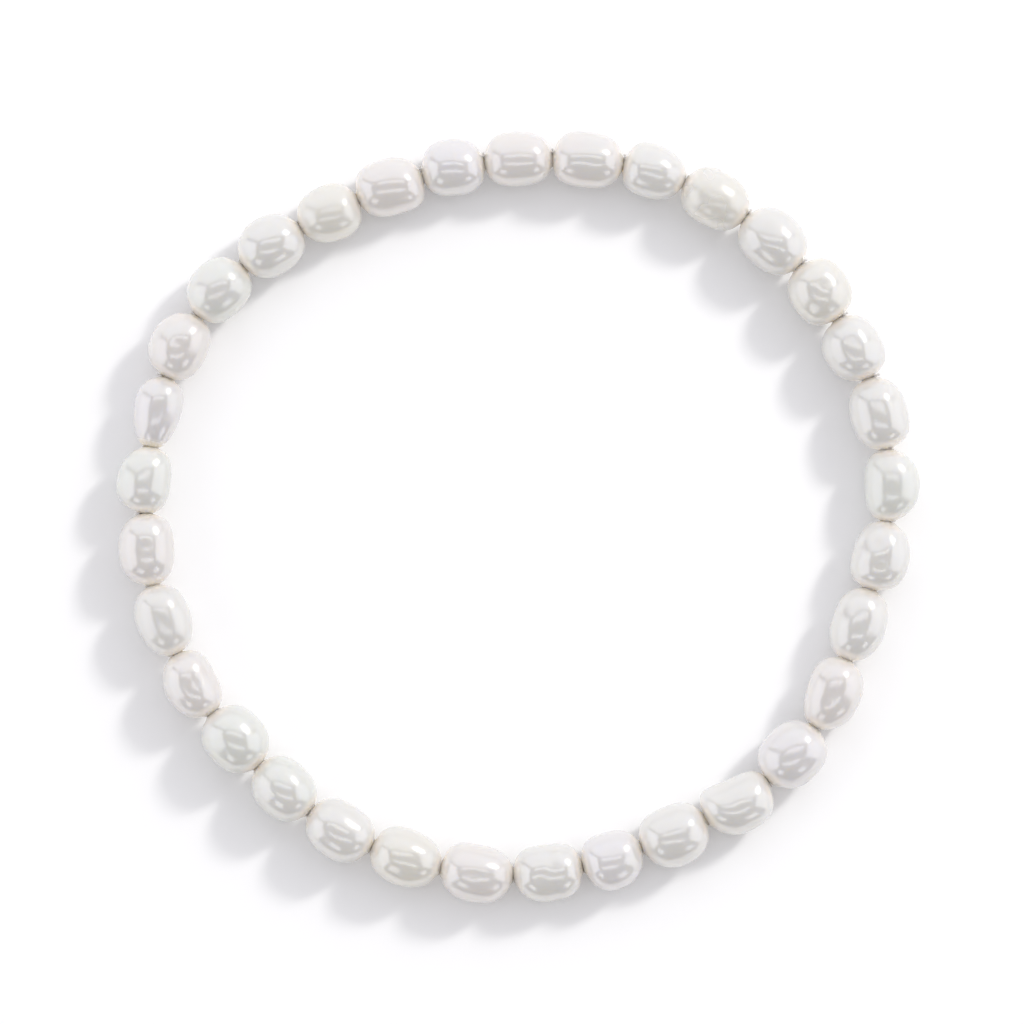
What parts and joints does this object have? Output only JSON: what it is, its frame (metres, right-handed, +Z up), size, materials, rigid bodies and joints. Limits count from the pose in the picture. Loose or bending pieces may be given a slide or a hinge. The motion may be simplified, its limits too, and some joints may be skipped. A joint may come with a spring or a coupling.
{
  "type": "pearl bracelet",
  "caption": "Closed stretch bracelet of off-round white pearls strung end to end on one clear elastic cord, worn round the wrist.",
  "frame": {"origin": "on the surface the bracelet lies on, under the middle of its outline", "axes": "+Z up through the loop, +X along the longer way across the loop, +Y along the shorter way, towards the top of the picture"},
  "size_m": [0.0622, 0.0598, 0.0044],
  "materials": {
    "nacre": "ivory white pearl nacre with a soft mirror lustre and faint pink and green overtones",
    "clear_elastic": "clear glossy elastic beading cord"
  },
  "bodies": {
    "root": {"pearl_01": "nacre", "pearl_02": "nacre", "pearl_03": "nacre", "pearl_04": "nacre", "pearl_05": "nacre", "pearl_06": "nacre", "pearl_07": "nacre", "pearl_08": "nacre", "pearl_09": "nacre", "pearl_10": "nacre", "pearl_11": "nacre", "pearl_12": "nacre", "pearl_13": "nacre", "pearl_14": "nacre", "pearl_15": "nacre", "pearl_16": "nacre", "pearl_17": "nacre", "pearl_18": "nacre", "pearl_19": "nacre", "pearl_20": "nacre", "pearl_21": "nacre", "pearl_22": "nacre", "pearl_23": "nacre", "pearl_24": "nacre", "pearl_25": "nacre", "pearl_26": "nacre", "pearl_27": "nacre", "pearl_28": "nacre", "pearl_29": "nacre", "pearl_30": "nacre", "pearl_31": "nacre", "pearl_32": "nacre", "pearl_33": "nacre", "elastic_cord": "clear_elastic"}
  },
  "joints": []
}
